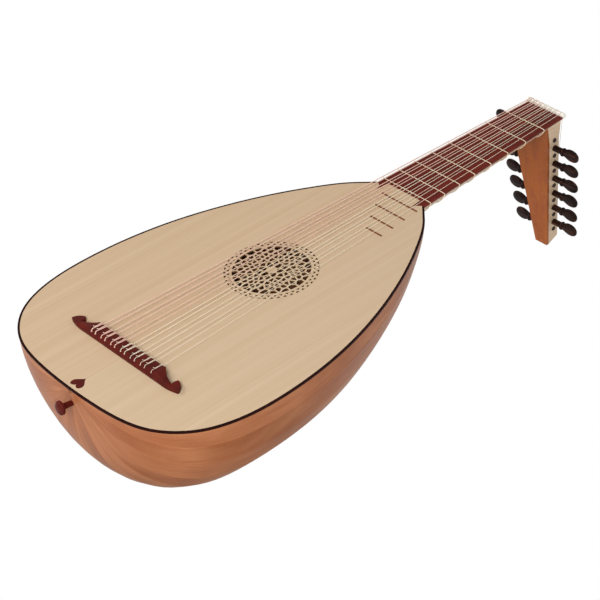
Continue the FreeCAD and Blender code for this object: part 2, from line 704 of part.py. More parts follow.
def make_string(index, play=0.0):
    """One string, or the room it needs with some play round it."""
    points, radius = string_route(index)
    radius += play
    path = rounded_path(points, [2.0, 1.2])
    direction = (points[1] - points[0]).normalize()
    circle = Part.Wire(Part.makeCircle(radius, points[0], direction))
    return path.makePipeShell([circle], True, False)


def make_course(course):
    members = [i for i, line in enumerate(string_lines()) if line[0] == course]
    return Part.makeCompound([make_string(i) for i in members])


# ---------------------------------------------------------------- inner braces and small fittings
BARS_X = [-42.0, 38.0, 88.0, 126.0, 238.0, 282.0, 322.0]
BAR_THICK, BAR_TALL = 5.0, 15.0


def width_at(x):
    """Half-width and depth of the body at x."""
    low, high = 0.0, 1.0
    while high - low > 1e-6:
        middle = 0.5 * (low + high)
        if WIDTH_CURVE.value(middle).x > x:
            low = middle
        else:
            high = middle
    return WIDTH_CURVE.value(low).y, DEPTH_CURVE.value(low).y


def make_bars():
    bars = []
    for x in BARS_X:
        edge = min(width_at(x - BAR_THICK / 2)[0], width_at(x + BAR_THICK / 2)[0]) - RIB_THICKNESS - 1.6
        deep = width_at(x)[1]
        low_edge = edge * math.sqrt(max(0.0, 1.0 - (BAR_TALL / deep) ** 2)) - 10.0
        outline = [(x, -edge, -TOP), (x, edge, -TOP), (x, edge, -TOP - 3.0), (x, low_edge, -TOP - BAR_TALL),
                   (x, -low_edge, -TOP - BAR_TALL), (x, -edge, -TOP - 3.0)]
        face = Part.Face(polygon(outline))
        face.translate(vec(-BAR_THICK / 2, 0, 0))
        bars.append(face.extrude(vec(BAR_THICK, 0, 0)))
    return Part.makeCompound(bars)


def make_strap_button():
    root_x, root_z = BUTTON_ROOT
    outline = [(-7.0, 0), (-7.0, BUTTON_TENON), (0, BUTTON_TENON), (0, BUTTON_SHAFT - 0.3),
               (9.0, BUTTON_SHAFT), (11.6, BUTTON_SHAFT + 0.5)]
    edges = [Part.makeLine(vec(a, b), vec(c, d)) for (a, b), (c, d) in zip(outline, outline[1:])]
    flare = Part.Arc(vec(11.6, BUTTON_SHAFT + 0.5), vec(12.6, BUTTON_SHAFT + 2.2), vec(13.0, BUTTON_HEAD))
    crown = Part.Arc(vec(15.2, BUTTON_HEAD), vec(17.2, BUTTON_HEAD * 0.62), vec(18.0, BUTTON_NAVEL))
    edges += [flare.toShape(), Part.makeLine(vec(13.0, BUTTON_HEAD), vec(15.2, BUTTON_HEAD)), crown.toShape(),
              Part.makeLine(vec(18.0, BUTTON_NAVEL), vec(18.0, 0)), Part.makeLine(vec(18.0, 0), vec(-7.0, 0))]
    button = Part.Face(Part.Wire(Part.__sortEdges__(edges))).revolve(vec(0, 0, 0), vec(1, 0, 0), 360)
    button.rotate(vec(0, 0, 0), vec(0, 1, 0), 180)
    button.rotate(vec(0, 0, 0), vec(0, 1, 0), BUTTON_TILT)
    button.translate(vec(root_x, 0, root_z))
    return button


# ---------------------------------------------------------------- assembly
def build():
    """Every piece in the instrument's frame, by node name."""
    bores = Part.makeCompound([peg_bore(i) for i in range(PEG_COUNT)])
    wall = make_pegbox_wall()
    button = make_strap_button()
    tail = make_tail_block()
    pieces = {
        "soundboard": make_soundboard(),
        "edge_binding": make_binding(),
        "heart_inlay": slab(Part.Face(heart_wire()), HEART_DEPTH),
        "bridge": make_bridge(),
        "body_frets": make_body_frets(),
        "soundboard_bars": make_bars(),
        "tail_block": tail.cut(button),
        "neck_block": make_neck_block(),
        "neck": make_neck(),
        "fingerboard": make_fingerboard(),
        "nut": make_nut(),
        "pegbox_wall_bass": wall.cut(bores),
        "pegbox_wall_treble": mirror_y(wall).cut(bores),
        "pegbox_back": make_pegbox_back(),
        "pegbox_tip_block": make_pegbox_tip_block(),
        "strap_button": button,
    }
    for i in range(RIB_COUNT):
        rib = make_rib(i)
        if abs(i - RIB_COUNT // 2) <= 1:
            rib = rib.cut(button)
        pieces[f"rib_{i + 1:02d}"] = rib
    for number in range(1, TIED_FRETS + 1):
        pieces[f"tied_fret_{number}"] = make_tied_fret(number)
    for i in range(PEG_COUNT):
        pieces[f"peg_{i + 1:02d}"] = make_peg(i)
    for course in range(COURSES):
        pieces[f"strings_course_{course + 1}"] = make_course(course)
    return pieces


def rest_tilt():
    """The tip about Y, in degrees, at which the bowl and the pegbox's tip stand on one plane."""
    tip = pegbox_point(PEGBOX_END, -PEGBOX_BACK)
    low, high = 0.0, 12.0
    while high - low > 1e-6:
        angle = 0.5 * (low + high)
        turn = math.radians(angle)
        bowl = min(p.x * math.sin(turn) + p.z * math.cos(turn)
                   for p in (bowl_point(t, 90.0) for t in stations(0.3, 0.9, 240)))
        end = tip.x * math.sin(turn) + tip.z * math.cos(turn)
        if end < bowl:
            low = angle
        else:
            high = angle
    return low


def placement(pieces):
    """Rotation and shift from the instrument's frame to the part's own."""
    turn = FreeCAD.Rotation(vec(0, 1, 0), -rest_tilt())
    tipped = FreeCAD.Placement(vec(0, 0, 0), turn)
    bound = FreeCAD.BoundBox()
    for shape in pieces.values():
        copy = shape.copy()
        copy.Placement = tipped.multiply(copy.Placement)
        bound.add(copy.optimalBoundingBox(False, False))
    return FreeCAD.Placement(vec(-bound.Center.x, -bound.Center.y, -bound.ZMin), turn)


def main():
    os.makedirs("parts", exist_ok=True)
    pieces = build()
    place = placement(pieces)
    for name, shape in pieces.items():
        placed = shape.transformed(place.toMatrix())
        placed.exportStep(f"parts/{name}.step")


main()
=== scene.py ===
import json
import math
import bpy
import numpy as np
from mathutils import Matrix, Vector


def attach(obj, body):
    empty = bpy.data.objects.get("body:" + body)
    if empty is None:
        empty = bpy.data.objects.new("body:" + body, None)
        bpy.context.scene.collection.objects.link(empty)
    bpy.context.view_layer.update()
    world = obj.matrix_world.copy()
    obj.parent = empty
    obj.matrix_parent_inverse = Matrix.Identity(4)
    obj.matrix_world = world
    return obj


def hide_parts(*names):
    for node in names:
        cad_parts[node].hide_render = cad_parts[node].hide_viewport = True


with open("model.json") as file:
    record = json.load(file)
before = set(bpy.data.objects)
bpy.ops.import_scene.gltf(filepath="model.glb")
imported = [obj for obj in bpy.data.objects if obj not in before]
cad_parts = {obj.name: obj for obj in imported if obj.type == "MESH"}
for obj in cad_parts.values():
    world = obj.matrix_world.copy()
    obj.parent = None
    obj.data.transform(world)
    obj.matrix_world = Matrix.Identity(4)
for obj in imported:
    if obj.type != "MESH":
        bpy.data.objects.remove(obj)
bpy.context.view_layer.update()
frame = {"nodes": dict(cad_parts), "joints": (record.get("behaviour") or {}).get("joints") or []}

# The looks of a seven-course Renaissance lute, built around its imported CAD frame.
#
# Shapes are drawn in the instrument's own frame, in millimetres: X runs along the strings from the
# bridge's front edge (0) to the nut (600), +Y is the bass side, and Z = 0 is the soundboard's top.
# INSTRUMENT carries them into the part's frame, in metres.

NODES = frame["nodes"]
JOINTS = {joint["name"]: joint for joint in frame["joints"]}
MM = 0.001

# ---------------------------------------------------------------- driving dimensions, mm
STRING_LENGTH = 600.0
TOP = 1.8                       # thickness of the soundboard and the fingerboard
RIB_THICKNESS = 1.7
RIB_INSET = 0.3                 # the bent ribs' skin lies this far inside the drawn bowl
RIB_COUNT = 15
EDGE_RIB_ANGLE = 8.7            # degrees; the two ribs beside the soundboard are narrower
RIB_FLATNESS = 0.55             # 0 follows the round bowl, 1 is flat across each rib
RIB_LENGTHS, RIB_STRIPS = 72, 8   # a rib's mesh: steps along it and across its face
SEAM_WIDTH, SEAM_DEPTH = 0.4, 0.28
NARROW_RIB = 4.0                # below this width the grooves grow shallower
TAIL_CLOSE = 4.0                # half-width where the ribs meet at the tail
# (distance from the bridge, half-width, depth of the bowl) from the neck joint to the tail
BODY = [
    (369.0, 36.0, 24.3), (345.0, 60.3, 50.6), (318.0, 79.7, 72.8), (286.0, 98.8, 94.6),
    (245.0, 119.0, 116.0), (203.0, 135.5, 131.6), (161.0, 148.0, 142.2), (114.0, 156.8, 148.6),
    (57.0, 160.6, 149.6), (5.4, 155.6, 144.8), (-28.9, 142.6, 129.8), (-51.0, 124.5, 107.4),
    (-66.5, 100.8, 79.2), (-75.2, 69.4, 50.2), (-78.8, 32.0, 24.2), (-79.6, 0.0, 0.0),
]
DEEPEST = 149.6
ARC_SPAN = 0.12                 # share of the outline over which the neck's shallow arc turns oval
NECK_JOINT, NECK_ROOT_HALF, NECK_ROOT_DEPTH = 369.0, 36.0, 24.3
NUT_HALF, NUT_DEPTH = 27.0, 17.3
NECK_STEPS = 40                 # points of a gut fret round the back of the neck

TIED_FRETS = 8
FRET_GUT = 0.9                  # diameter of the gut
FRET_SLACK = 0.28               # room between the gut and the neck, so that it slides

TIE_HOLE_Z, TIE_TOP_Z = 5.6, 7.2
BRIDGE_HEIGHT = 8.0
NUT_LENGTH, NUT_TOP, NUT_SLOT_DEPTH = 4.4, 4.0, 0.85
CHANTERELLE_BRIDGE, CHANTERELLE_NUT = -45.7, -23.0
SECOND_COURSE_BRIDGE, SECOND_COURSE_NUT = -31.9, -15.5
COURSE_PITCH_BRIDGE, COURSE_PITCH_NUT = 15.6, 7.75
PAIR_HALF_BRIDGE, PAIR_HALF_NUT = 3.1, 1.5
COURSES = 7
STRING_DIAMETERS = [0.44, 0.5, 0.58, 0.7, 0.8, 0.9, 1.0]

PEG_COUNT = 13
PEG_ORIGIN = (586.4, -24.0)
PEG_PITCH = 11.65
PEGBOX_LEAN = math.radians(7.19)
PEGBOX_HALF_TOP, PEGBOX_TAPER = 26.9, 0.112
WALL = 4.6
PEG_RADIUS, PEG_END_RADIUS = 3.6, 2.7
PEG_STUB = 0.8
COIL_STEPS = 20                 # points in one turn of string round a peg
COIL_GAP, PEG_GAP = 0.06, 0.02  # air between two turns, and between a string and its peg

# ---------------------------------------------------------------- from the instrument to the part
ALONG = Vector(JOINTS["tied_fret_1_slide"]["axis"]).normalized()
ACROSS = Vector((0.0, 1.0, 0.0))
FACING = ALONG.cross(ACROSS)


def instrument_matrix():
    """Turns instrument millimetres into part metres; the first peg's hinge ties the two frames."""
    turn = Matrix((ALONG, ACROSS, FACING)).transposed().to_4x4()
    local = Vector((PEG_ORIGIN[0], PEGBOX_HALF_TOP, PEG_ORIGIN[1])) * MM
    shift = Vector(JOINTS["peg_01_turn"]["pos_m"]) - turn @ local
    return Matrix.Translation(shift) @ turn @ Matrix.Scale(MM, 4)


INSTRUMENT = instrument_matrix()


# ---------------------------------------------------------------- mesh tools
def make_piece(name, points, faces, material, body, smooth=True, uv=None):
    """A mesh object from points in the instrument's frame, riding on a CAD body."""
    mesh = bpy.data.meshes.new(name)
    mesh.from_pydata([INSTRUMENT @ Vector(p) for p in points], [], faces)
    if uv is not None:
        layer = mesh.uv_layers.new(name="grain")
        for loop in mesh.loops:
            layer.data[loop.index].uv = uv[loop.vertex_index]
    mesh.polygons.foreach_set("use_smooth", [smooth] * len(mesh.polygons))
    mesh.materials.append(material)
    mesh.validate()
    piece = bpy.data.objects.new(name, mesh)
    bpy.context.scene.collection.objects.link(piece)
    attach(piece, body)
    return piece


def hermite(p0, p1, m0, m1, share):
    s2, s3 = share * share, share ** 3
    return (2 * s3 - 3 * s2 + 1) * p0 + (s3 - 2 * s2 + share) * m0 + (3 * s2 - 2 * s3) * p1 + (s3 - s2) * m1


def smooth_path(points, per_span=6, closed=False):
    """A Catmull-Rom line through the points."""
    points = [Vector(p) for p in points]
    count = len(points)
    path = []
    for i in range(count if closed else count - 1):
        if closed:
            before, here, there, after = (points[(i + k) % count] for k in (-1, 0, 1, 2))
        else:
            before, here = points[max(i - 1, 0)], points[i]
            there, after = points[i + 1], points[min(i + 2, count - 1)]
        for step in range(per_span):
            path.append(hermite(here, there, (there - before) / 2, (after - here) / 2, step / per_span))
    if not closed:
        path.append(points[-1])
    return path


def tube(path, radius, sides=8, closed=False, start_length=0.0):
    """Points, faces and (length, turn) coordinates of a round tube with flat ends."""
    count = len(path)
    points, uv, faces = [], [], []
    normal = None
    length = start_length
    for i in range(count):
        ahead = path[(i + 1) % count] if closed or i < count - 1 else path[i]
        behind = path[i - 1] if closed or i > 0 else path[i]
        along = (ahead - behind).normalized()
        if normal is None:
            normal = along.orthogonal().normalized()
        normal = (normal - along * normal.dot(along)).normalized()
        other = along.cross(normal)
        if i > 0:
            length += (path[i] - path[i - 1]).length
        wide = radius[i] if isinstance(radius, (list, tuple)) else radius
        for k in range(sides):
            turn = 2 * math.pi * k / sides
            points.append(path[i] + (normal * math.cos(turn) + other * math.sin(turn)) * wide)
            uv.append((length * MM, k / sides))
    rings = count if closed else count - 1
    for i in range(rings):
        for k in range(sides):
            a, b = i * sides + k, i * sides + (k + 1) % sides
            c, d = (i + 1) % count * sides + (k + 1) % sides, (i + 1) % count * sides + k
            faces.append((a, b, c, d))
    if not closed:
        faces.append(tuple(range(sides))[::-1])
        faces.append(tuple((count - 1) * sides + k for k in range(sides)))
    return points, faces, uv


def joined(*parts):
    """Several (points, faces, uv) as one."""
    points, faces, uv = [], [], []
    for part_points, part_faces, part_uv in parts:
        base = len(points)
        points += part_points
        uv += part_uv
        faces += [tuple(base + i for i in face) for face in part_faces]
    return points, faces, uv


# ---------------------------------------------------------------- materials
def srgb(red, green, blue):
    """An 8-bit display colour as the linear colour that shaders take."""
    channels = []
    for value in (red, green, blue):
        value /= 255.0
        channels.append(value / 12.92 if value <= 0.04045 else ((value + 0.055) / 1.055) ** 2.4)
    return (*channels, 1.0)


class Look:
    """One material's node graph, built up a line at a time."""

    def __init__(self, name):
        self.material = bpy.data.materials.new(name)
        self.material.use_nodes = True
        self.tree = self.material.node_tree
        self.shader = self.tree.nodes["Principled BSDF"]

    def node(self, kind, inputs, **settings):
        """Adds a node; inputs maps a socket's name or number to a value or another node's output."""
        made = self.tree.nodes.new("ShaderNode" + kind)
        for key, value in settings.items():
            setattr(made, key, value)
        for key, value in inputs.items():
            if isinstance(value, bpy.types.NodeSocket):
                self.tree.links.new(value, made.inputs[key])
            else:
                made.inputs[key].default_value = value
        return made

    def place(self, scale=(1, 1, 1), turn=(0, 0, 0), uv=None):
        """Coordinates in metres, stretched: the object's own, or those of a UV map."""
        if uv:
            source = self.node("UVMap", {}, uv_map=uv).outputs["UV"]
        else:
            source = self.node("TexCoord", {}).outputs["Object"]
        turned = self.node("Mapping", {"Vector": source, "Rotation": turn}).outputs[0]
        return self.node("Mapping", {"Vector": turned, "Scale": scale}).outputs[0]

    def noise(self, where, scale, detail=2.0, roughness=0.5, distortion=0.0):
        inputs = {"Vector": where, "Scale": scale, "Detail": detail, "Roughness": roughness}
        return self.node("TexNoise", {**inputs, "Distortion": distortion}).outputs["Fac"]

    def stretched(self, where, scale):
        """The same coordinates, scaled along each axis."""
        return self.node("Mapping", {"Vector": where, "Scale": scale}).outputs[0]

    def ramp(self, factor, *stops):
        """A colour ramp over (place, colour) stops; a bare number is a grey."""
        made = self.node("ValToRGB", {"Fac": factor})
        line = made.color_ramp
        while len(line.elements) < len(stops):
            line.elements.new(0.5)
        for element, (place, colour) in zip(line.elements, stops):
            element.position = place
            element.color = colour if isinstance(colour, tuple) else (colour, colour, colour, 1.0)
        return made.outputs["Color"]

    def mix(self, factor, first, second, blend="MIX"):
        made = self.node("Mix", {0: factor, 6: first, 7: second}, data_type="RGBA", blend_type=blend)
        return made.outputs[2]

    def math(self, operation, first, second=0.0):
        return self.node("Math", {0: first, 1: second}, operation=operation).outputs[0]

    def bump(self, height, distance, strength=1.0, over=None):
        inputs = {"Height": height, "Distance": distance, "Strength": strength}
        if over is not None:
            inputs["Normal"] = over
        return self.node("Bump", inputs).outputs[0]

    def finish(self, colour, roughness, normal=None, **sockets):
        sockets.setdefault("Specular_IOR_Level", 0.14)
        self.tree.links.new(colour, self.shader.inputs["Base Color"])
        if isinstance(roughness, bpy.types.NodeSocket):
            self.tree.links.new(roughness, self.shader.inputs["Roughness"])
        else:
            self.shader.inputs["Roughness"].default_value = roughness
        if normal is not None:
            self.tree.links.new(normal, self.shader.inputs["Normal"])
        for name, value in sockets.items():
            self.shader.inputs[name.replace("_", " ")].default_value = value
        return self.material


def spruce():
    """The soundboard: fine, even, straight grain in two book-matched halves with faint silk, and painted
    shade on its steep faces.
    """
    look = Look("spruce_soundboard")
    where = look.node("TexCoord", {}).outputs["Object"]
    parts = look.node("SeparateXYZ", {"Vector": where})
    across = look.math("ABSOLUTE", parts.outputs["Y"])
    book = look.node("CombineXYZ", {0: parts.outputs["X"], 1: across, 2: 0.0}).outputs[0]
    bands = look.noise(look.stretched(book, (1.2, 120.0, 1.0)), 1.0, 3.0)
    years = look.noise(look.stretched(book, (1.6, 620.0, 1.0)), 1.0, 2.0, 0.6)
    fibre = look.noise(look.stretched(book, (60.0, 2600.0, 1.0)), 1.0, 2.0)
    silk = look.noise(look.stretched(book, (520.0, 70.0, 1.0)), 1.0, 3.0)
    cloud = look.noise(where, 9.0, 2.0)
    base = look.ramp(bands, (0.3, srgb(202, 173, 140)), (0.7, srgb(209, 182, 151)))
    late = look.ramp(years, (0.52, 0.0), (0.72, 1.0))
    colour = look.mix(look.math("MULTIPLY", late, 0.3), base, srgb(184, 154, 118))
    colour = look.mix(look.math("MULTIPLY", look.ramp(silk, (0.58, 0.0), (0.74, 1.0)), 0.16), colour,
                      srgb(212, 194, 166))
    colour = look.mix(look.math("MULTIPLY", cloud, 0.22), colour, srgb(188, 160, 124))
    treble = look.math("LESS_THAN", parts.outputs["Y"], 0.0)
    colour = look.mix(look.math("MULTIPLY", treble, 0.2), colour, srgb(208, 188, 160))
    join = look.math("LESS_THAN", across, 0.00016)
    colour = look.mix(look.math("MULTIPLY", join, 0.55), colour, srgb(168, 128, 84))
    # Painted shade: faces that turn away from overhead, such as the cut walls of the rose's openings and the
    # board's edges, darken toward dark brown.
    painted_shade_normal_z = look.node("SeparateXYZ", {"Vector": look.node("NewGeometry", {}).outputs["Normal"]}).outputs["Z"]
    colour = look.mix(look.ramp(painted_shade_normal_z, (0.35, 1.0), (0.75, 0.0)), colour, srgb(104, 72, 44))
    rough = look.ramp(fibre, (0.2, 0.46), (0.8, 0.6))
    relief = look.math("ADD", look.math("MULTIPLY", late, 0.6), look.math("MULTIPLY", fibre, 0.5))
    return look.finish(colour, rough, look.bump(relief, 0.00006, 0.6), Specular_IOR_Level=0.2)


def cherry(name, low, high, streaks, fineness, uv=None, turn=(0, 0, 0)):
    """The bowl's wood: warm, close-grained, with soft figure, under a satin varnish."""
    look = Look(name)
    broad = look.noise(look.place((9.0, 13.0, 13.0), turn, uv), 1.0, 2.0, 0.5, 0.9)
    figure = look.noise(look.place((11.0, 60.0, 60.0), turn, uv), 1.0, 3.0, 0.55, 1.2)
    grain = look.noise(look.place((8.0, fineness, fineness), turn, uv), 1.0, 3.0, 0.6, 0.3)
    pores = look.noise(look.place((90.0, 2400.0, 2400.0), turn, uv), 1.0, 2.0, 0.6)
    ray = look.noise(look.place((700.0, 260.0, 260.0), turn, uv), 1.0, 2.0, 0.5)
    colour = look.ramp(broad, (0.32, low), (0.68, high))
    colour = look.mix(look.ramp(figure, (0.42, 0.0), (0.66, 0.4)), colour, srgb(154, 84, 50))
    colour = look.mix(look.math("MULTIPLY", look.ramp(grain, (0.45, 0.0), (0.75, 1.0)), streaks), colour,
                      srgb(132, 68, 38))
    colour = look.mix(look.ramp(pores, (0.62, 0.0), (0.76, 0.25)), colour, srgb(96, 46, 28))
    colour = look.mix(look.ramp(ray, (0.62, 0.0), (0.78, 0.22)), colour, srgb(222, 165, 122))
    rough = look.ramp(broad, (0.3, 0.34), (0.7, 0.44))
    relief = look.math("SUBTRACT", look.math("MULTIPLY", grain, 0.4), look.math("MULTIPLY", pores, 0.6))
    return look.finish(colour, rough, look.bump(relief, 0.00005, 0.35), Specular_IOR_Level=0.09)


def maple(name, turn=(0, 0, 0)):
    """Pale close-grained wood with a faint ripple across the grain."""
    look = Look(name)
    broad = look.noise(look.place((4.0, 30.0, 30.0), turn), 1.0, 2.0, 0.5, 0.3)
    grain = look.noise(look.place((16.0, 560.0, 560.0), turn), 1.0, 3.0, 0.6)
    ripple = look.noise(look.place((210.0, 26.0, 26.0), turn), 1.0, 2.0, 0.45, 0.6)
    fleck = look.noise(look.place((260.0, 1900.0, 1900.0), turn), 1.0, 2.0)
    colour = look.ramp(broad, (0.3, srgb(192, 165, 137)), (0.7, srgb(212, 188, 162)))
    colour = look.mix(look.math("MULTIPLY", look.ramp(grain, (0.42, 0.0), (0.72, 1.0)), 0.3), colour,
                      srgb(178, 140, 98))
    colour = look.mix(look.ramp(ripple, (0.4, 0.0), (0.65, 0.22)), colour, srgb(238, 216, 184))
    colour = look.mix(look.ramp(fleck, (0.64, 0.0), (0.78, 0.35)), colour, srgb(160, 116, 76))
    rough = look.ramp(ripple, (0.3, 0.36), (0.7, 0.46))
    return look.finish(colour, rough, look.bump(grain, 0.00004, 0.35), Coat_Weight=0.08, Coat_Roughness=0.35)


def inner_spruce():
    """Raw, unfinished wood inside the bowl."""
    look = Look("raw_spruce")
    grain = look.noise(look.place((8.0, 500.0, 500.0)), 1.0, 3.0)
    saw = look.noise(look.place((900.0, 60.0, 60.0)), 1.0, 2.0)
    colour = look.ramp(grain, (0.3, srgb(196, 164, 120)), (0.7, srgb(220, 192, 150)))
    colour = look.mix(look.ramp(saw, (0.5, 0.0), (0.7, 0.2)), colour, srgb(170, 136, 96))
    return look.finish(colour, 0.75, look.bump(look.math("ADD", grain, saw), 0.0001, 0.5))


def rosewood(name, low, high, streak, rough=0.4):
    """Dark red-brown wood with open pores: the fingerboard, bridge, heart and strap button."""
    look = Look(name)
    broad = look.noise(look.place((6.0, 70.0, 70.0)), 1.0, 3.0, 0.5, 0.5)
    grain = look.noise(look.place((14.0, 700.0, 700.0)), 1.0, 3.0, 0.6)
    pores = look.noise(look.place((170.0, 2300.0, 2300.0)), 1.0, 1.0)
    colour = look.ramp(broad, (0.3, low), (0.7, high))
    colour = look.mix(look.math("MULTIPLY", look.ramp(grain, (0.42, 0.0), (0.74, 1.0)), 0.5), colour, streak)
    hollow = look.ramp(pores, (0.63, 0.0), (0.7, 1.0))
    colour = look.mix(look.math("MULTIPLY", hollow, 0.6), colour, srgb(28, 10, 8))
    rough_map = look.ramp(grain, (0.3, rough - 0.06), (0.7, rough + 0.08))
    relief = look.math("SUBTRACT", look.math("MULTIPLY", grain, 0.3), hollow)
    return look.finish(colour, rough_map, look.bump(relief, 0.00008, 0.4))


def ebony():
    """The pegs: nearly black, brown where the light gets in, hand-polished."""
    look = Look("peg_ebony")
    streak = look.noise(look.place((420.0, 30.0, 420.0)), 1.0, 3.0, 0.55, 0.4)
    turned = look.noise(look.place((60.0, 1500.0, 60.0)), 1.0, 2.0)
    wear = look.noise(look.place((90.0, 90.0, 90.0)), 1.0, 2.0)
    colour = look.ramp(streak, (0.38, srgb(16, 8, 7)), (0.56, srgb(40, 20, 14)), (0.72, srgb(84, 46, 30)))
    rough = look.ramp(wear, (0.35, 0.26), (0.7, 0.42))
    return look.finish(colour, rough, look.bump(turned, 0.00003, 0.35), Specular_IOR_Level=0.1)


def binding():
    """Stained dark wood round the soundboard's edge."""
    look = Look("edge_binding_dark")
    grain = look.noise(look.place((60.0, 60.0, 900.0)), 1.0, 3.0)
    wear = look.noise(look.place((120.0, 120.0, 120.0)), 1.0, 3.0)
    colour = look.ramp(grain, (0.3, srgb(26, 7, 5)), (0.7, srgb(44, 13, 10)))
    colour = look.mix(look.ramp(wear, (0.6, 0.0), (0.8, 0.3)), colour, srgb(62, 26, 18))
    return look.finish(colour, look.ramp(wear, (0.3, 0.38), (0.7, 0.52)), look.bump(grain, 0.00003, 0.3),
                       Specular_IOR_Level=0.05)


def bone():
    """The nut: polished bone with fine canals."""
    look = Look("bone_nut")
    cloud = look.noise(look.place((160.0, 60.0, 160.0)), 1.0, 3.0)
    canals = look.noise(look.place((1600.0, 200.0, 1600.0)), 1.0, 2.0)
    colour = look.ramp(cloud, (0.3, srgb(236, 230, 216)), (0.7, srgb(247, 243, 233)))
    colour = look.mix(look.ramp(canals, (0.62, 0.0), (0.75, 0.4)), colour, srgb(196, 180, 150))
    return look.finish(colour, look.ramp(cloud, (0.3, 0.28), (0.7, 0.36)), look.bump(canals, 0.00003, 0.3),
                       Subsurface_Weight=0.08, Subsurface_Scale=0.002)


def twisted(name, low, high, pitch, rough, depth=0.00004):
    """Gut or a string: the twist of its strands shows as slanting lines along the 'grain' map."""
    look = Look(name)
    source = look.node("UVMap", {}, uv_map="grain").outputs["UV"]
    parts = look.node("SeparateXYZ", {"Vector": source})
    lay = look.math("ADD", look.math("MULTIPLY", parts.outputs["X"], 1.0 / pitch), parts.outputs["Y"])
    strand = look.math("PINGPONG", look.math("MULTIPLY", lay, 3.0), 1.0)
    tone = look.noise(look.stretched(source, (90.0, 2.0, 1.0)), 1.0, 3.0)
    colour = look.ramp(tone, (0.3, low), (0.7, high))
    colour = look.mix(look.math("MULTIPLY", strand, 0.18), colour, low)
    return look.finish(colour, look.ramp(tone, (0.3, rough - 0.05), (0.7, rough + 0.07)),
                       look.bump(strand, depth, 0.5), Subsurface_Weight=0.05, Subsurface_Scale=0.001)


def pegbox_turn():
    """Rotation that lays the pegbox's length along X, where the woods' grain runs."""
    slope = math.atan2(ALONG.z, ALONG.x)
    return (0.0, math.radians(90.0) - PEGBOX_LEAN + slope, 0.0)


MATERIALS = {
    "soundboard": spruce(),
    "ribs": cherry("cherry_ribs_varnished", srgb(154, 93, 57), srgb(184, 121, 82), 0.22, 300.0,
                   uv="grain"),
    "pegbox_back": cherry("cherry_back_varnished", srgb(140, 74, 30), srgb(164, 92, 42), 0.85, 130.0,
                          turn=pegbox_turn()),
    "neck": maple("maple_neck"),
    "pegbox": maple("maple_pegbox", pegbox_turn()),
    "inside": inner_spruce(),
    "fingerboard": rosewood("rosewood_fingerboard", srgb(92, 26, 15), srgb(120, 38, 24),
                            srgb(56, 14, 9), 0.42),
    "bridge": rosewood("rosewood_bridge", srgb(74, 18, 12), srgb(100, 27, 18), srgb(46, 11, 8), 0.4),
    "body_frets": rosewood("fret_wood", srgb(110, 62, 38), srgb(140, 84, 54), srgb(84, 44, 28), 0.45),
    "peg": ebony(),
    "binding": binding(),
    "nut": bone(),
    "fret_gut": twisted("gut_frets", srgb(224, 202, 170), srgb(240, 224, 198), 0.006, 0.42),
    "string_plain": twisted("strings_plain", srgb(236, 218, 190), srgb(248, 236, 216), 0.004, 0.3),
    "string_bass": twisted("strings_loaded", srgb(228, 186, 166), srgb(242, 208, 190), 0.004, 0.32),
}


def dress_cad():
    """Gives each CAD node that stays its finished material."""
    dressing = {
        "soundboard": "soundboard", "edge_binding": "binding", "heart_inlay": "bridge", "bridge": "bridge",
        "body_frets": "body_frets", "soundboard_bars": "inside", "tail_block": "inside",
        "neck_block": "inside", "neck": "neck", "fingerboard": "fingerboard", "nut": "nut",
        "pegbox_wall_bass": "pegbox", "pegbox_wall_treble": "pegbox", "pegbox_tip_block": "pegbox",
        "pegbox_back": "pegbox_back", "strap_button": "bridge",
    }
    for index in range(PEG_COUNT):
        dressing[f"peg_{index + 1:02d}"] = "peg"
    for node, look in dressing.items():
        for holder in NODES[node].material_slots:
            holder.material = MATERIALS[look]


# ---------------------------------------------------------------- the bowl
class BodyCurve:
    """A smooth curve through the body's stations: X and the half-width or the depth, by one parameter."""

    def __init__(self, column):
        self.points = np.array([(row[0], row[column]) for row in BODY])
        chords = np.hypot(*np.diff(self.points, axis=0).T)
        self.knots = np.concatenate([[0.0], np.cumsum(chords)]) / chords.sum()
        self.slopes = self.solve_slopes(chords)

    def solve_slopes(self, chords):
        """Slopes at the stations for which the curve bends evenly through each of them."""
        step = np.diff(self.knots)
        rise = np.diff(self.points, axis=0) / step[:, None]
        count = len(self.points)
        system, right = np.eye(count), np.zeros((count, 2))
        right[0] = rise[0]
        right[-1] = (0.0, -chords[-1] / step[-1])
        for i in range(1, count - 1):
            system[i, i - 1:i + 2] = (step[i], 2.0 * (step[i - 1] + step[i]), step[i - 1])
            right[i] = 3.0 * (step[i] * rise[i - 1] + step[i - 1] * rise[i])
        return np.linalg.solve(system, right)

    def at(self, t):
        i = min(int(np.searchsorted(self.knots, t, side="right")) - 1, len(self.knots) - 2)
        step = self.knots[i + 1] - self.knots[i]
        return hermite(self.points[i], self.points[i + 1], self.slopes[i] * step, self.slopes[i + 1] * step,
                       (t - self.knots[i]) / step)


WIDTH_CURVE, DEPTH_CURVE = BodyCurve(1), BodyCurve(2)


def close_parameter():
    """Where along the curves the ribs stop, TAIL_CLOSE from the centre line."""
    low, high = 0.9, 1.0
    while high - low > 1e-6:
        middle = 0.5 * (low + high)
        if WIDTH_CURVE.at(middle)[1] > TAIL_CLOSE:
            low = middle
        else:
            high = middle
    return low


def arc_depth(half, deep, angle):
    """Depth of a shallow round arc, half wide each side and deep in the middle, at an angle round it."""
    radius = (half ** 2 + deep ** 2) / (2.0 * deep)
    return math.sqrt(radius ** 2 - (half * math.cos(math.radians(angle))) ** 2) - (radius - deep)


